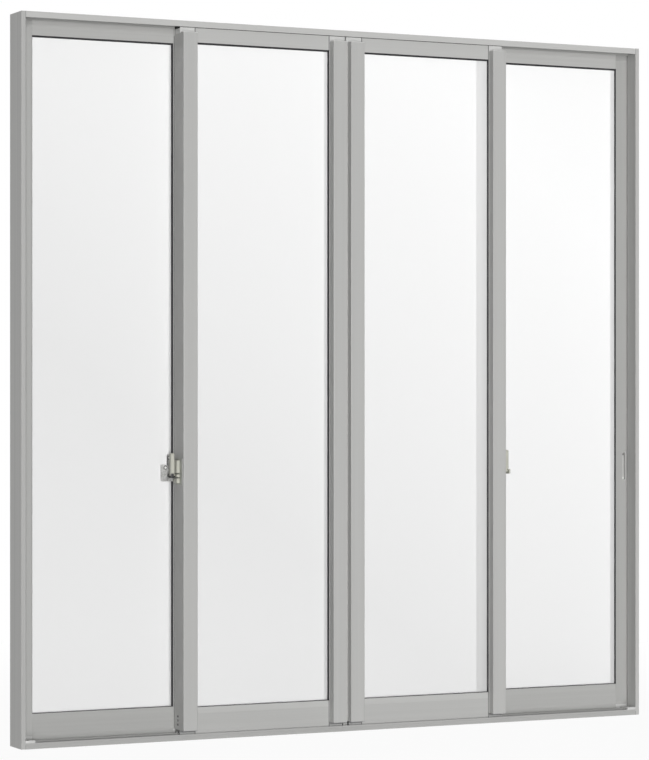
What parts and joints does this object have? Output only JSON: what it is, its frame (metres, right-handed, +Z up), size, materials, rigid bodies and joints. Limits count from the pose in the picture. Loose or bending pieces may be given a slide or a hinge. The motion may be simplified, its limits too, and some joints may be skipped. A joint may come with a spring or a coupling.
{
  "type": "glass sliding patio door",
  "caption": "Aluminium sliding patio door: framed glass panels bypass on two tracks, with handle fins on the centre panels, crescent latches and recessed finger pulls.",
  "frame": {"origin": "middle of the sill's flat underside, at mid-width and mid-depth of the frame", "axes": "+Z up, +X to the right as seen from the room, -Y towards the room"},
  "size_m": [2.16, 0.1205, 2.2],
  "materials": {
    "frame_aluminium": "satin anodised",
    "panel_aluminium": "satin anodised",
    "glass": "clear",
    "gasket_rubber": "matt black",
    "cap_plastic": "moulded light grey",
    "roller_plastic": "moulded dark grey",
    "latch_metal": "satin painted casting",
    "pull_metal": "satin painted pressing"
  },
  "bodies": {
    "frame": {"head": "frame_aluminium", "sill": "frame_aluminium", "left_jamb": "frame_aluminium", "right_jamb": "frame_aluminium", "sill_stops": "cap_plastic"},
    "left_end_panel": {"left_end_jamb_stile": "panel_aluminium", "left_end_meeting_stile": "panel_aluminium", "left_end_top_rail": "panel_aluminium", "left_end_bottom_rail": "panel_aluminium", "left_end_glass": "glass", "left_end_gasket": "gasket_rubber", "left_end_rollers": "roller_plastic", "left_end_stile_caps": "cap_plastic", "left_end_finger_pull": "pull_metal", "left_end_keeper": "latch_metal"},
    "left_centre_panel": {"left_centre_meeting_stile": "panel_aluminium", "left_centre_middle_stile": "panel_aluminium", "left_centre_top_rail": "panel_aluminium", "left_centre_bottom_rail": "panel_aluminium", "left_centre_glass": "glass", "left_centre_gasket": "gasket_rubber", "left_centre_rollers": "roller_plastic", "left_centre_stile_caps": "cap_plastic", "left_centre_latch_base": "latch_metal"},
    "left_latch_lever": {"left_centre_latch_lever": "latch_metal"},
    "right_end_panel": {"right_end_jamb_stile": "panel_aluminium", "right_end_meeting_stile": "panel_aluminium", "right_end_top_rail": "panel_aluminium", "right_end_bottom_rail": "panel_aluminium", "right_end_glass": "glass", "right_end_gasket": "gasket_rubber", "right_end_rollers": "roller_plastic", "right_end_stile_caps": "cap_plastic", "right_end_finger_pull": "pull_metal", "right_end_keeper": "latch_metal"},
    "right_centre_panel": {"right_centre_meeting_stile": "panel_aluminium", "right_centre_middle_stile": "panel_aluminium", "right_centre_top_rail": "panel_aluminium", "right_centre_bottom_rail": "panel_aluminium", "right_centre_glass": "glass", "right_centre_gasket": "gasket_rubber", "right_centre_rollers": "roller_plastic", "right_centre_stile_caps": "cap_plastic", "right_centre_latch_base": "latch_metal"},
    "right_latch_lever": {"right_centre_latch_lever": "latch_metal"}
  },
  "joints": [
    {"name": "left_end_slide", "type": "slide", "parent": "frame", "child": "left_end_panel", "axis": [1, 0, 0], "range_m": [0, 0.513]},
    {"name": "left_centre_slide", "type": "slide", "parent": "frame", "child": "left_centre_panel", "axis": [-1, 0, 0], "range_m": [0, 0.466]},
    {"name": "left_latch_turn", "type": "hinge", "parent": "left_centre_panel", "child": "left_latch_lever", "pos_m": [-0.5783, -0.02, 0.809], "axis": [1, 0, 0], "range_deg": [0, 180]},
    {"name": "right_end_slide", "type": "slide", "parent": "frame", "child": "right_end_panel", "axis": [-1, 0, 0], "range_m": [0, 0.513]},
    {"name": "right_centre_slide", "type": "slide", "parent": "frame", "child": "right_centre_panel", "axis": [1, 0, 0], "range_m": [0, 0.466]},
    {"name": "right_latch_turn", "type": "hinge", "parent": "right_centre_panel", "child": "right_latch_lever", "pos_m": [0.5783, -0.02, 0.809], "axis": [1, 0, 0], "range_deg": [0, 180]}
  ]
}
